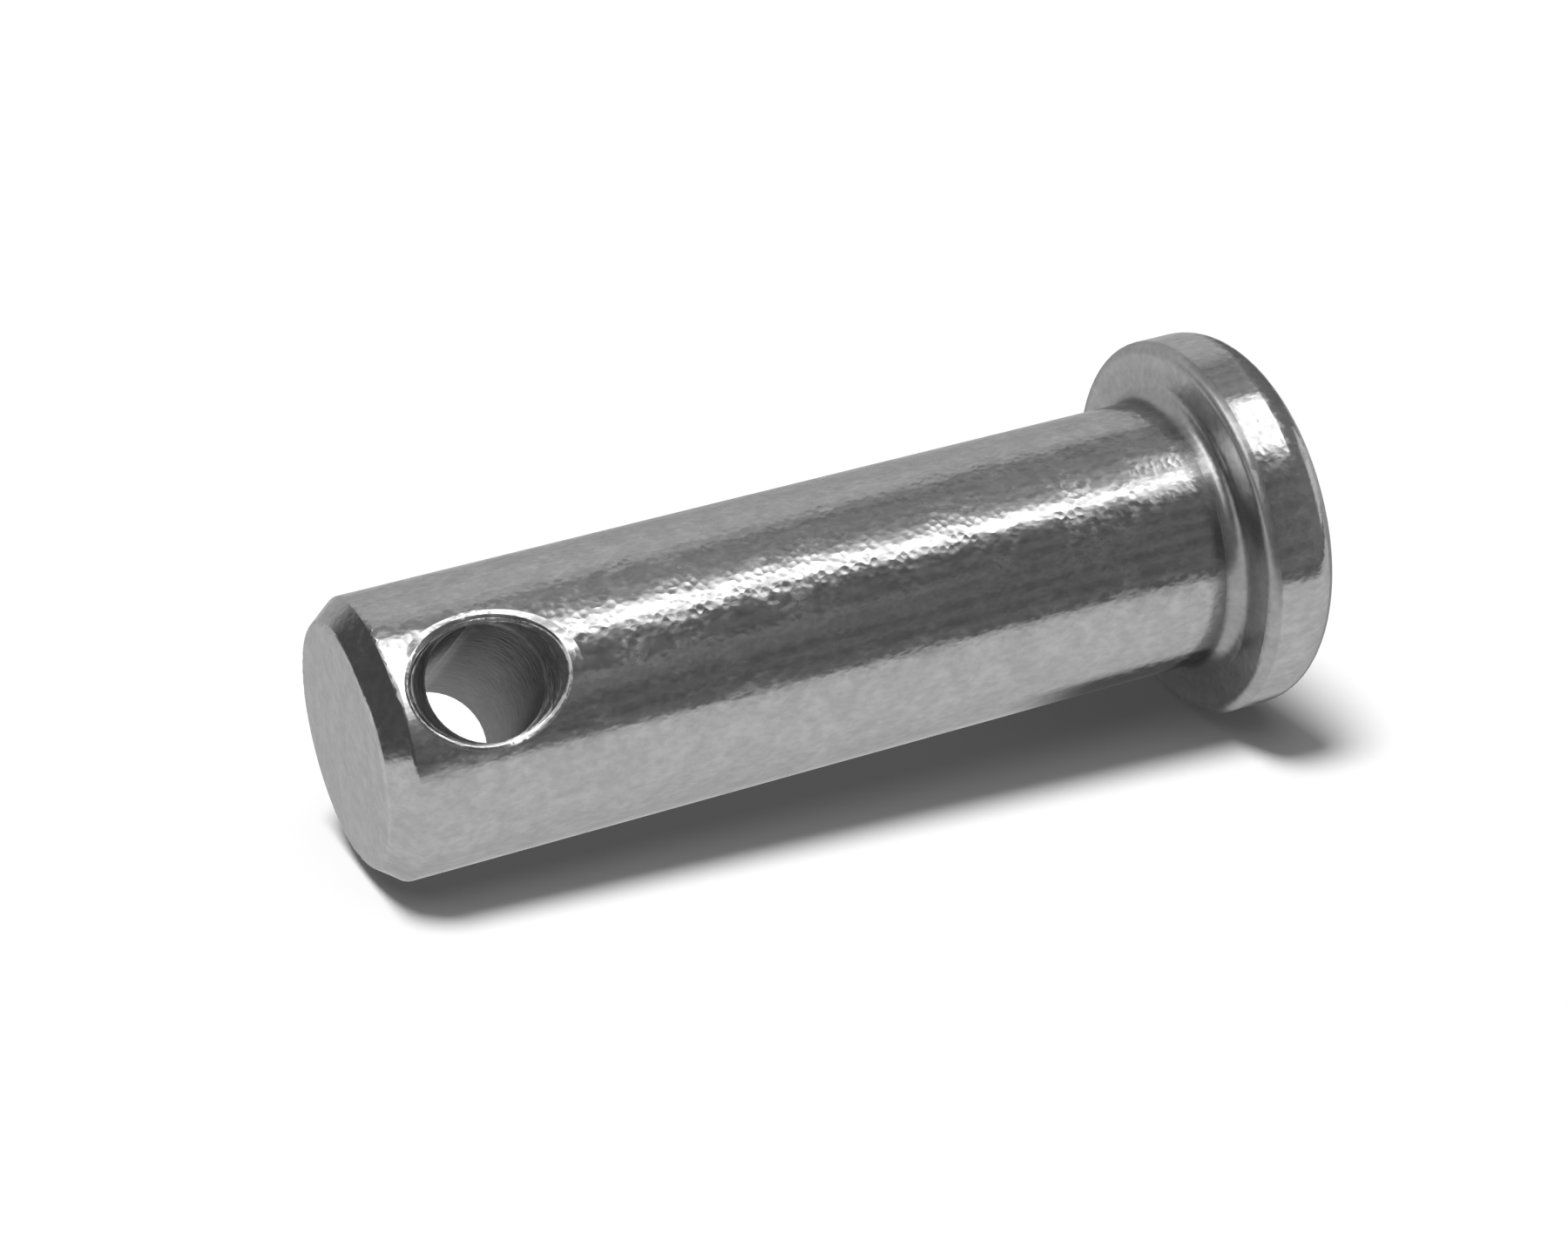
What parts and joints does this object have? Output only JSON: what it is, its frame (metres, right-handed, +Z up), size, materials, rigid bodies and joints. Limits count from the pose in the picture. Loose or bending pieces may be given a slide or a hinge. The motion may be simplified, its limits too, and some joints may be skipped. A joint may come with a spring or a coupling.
{
  "type": "clevis pin",
  "caption": "Headed cylindrical pin with a chamfered tip and a countersunk cross hole for a split pin; it joins a fork to the eye of a rod.",
  "frame": {"origin": "centre of the head's flat outer face, on which the pin stands", "axes": "+Z up the shank from the head to the tip; the cross hole runs along Y"},
  "size_m": [0.011, 0.011, 0.0278],
  "materials": {
    "zinc_plated_steel": "bright zinc plating over turned steel, neutral grey, lightly mottled"
  },
  "bodies": {
    "root": {"clevis_pin": "zinc_plated_steel"}
  },
  "joints": []
}
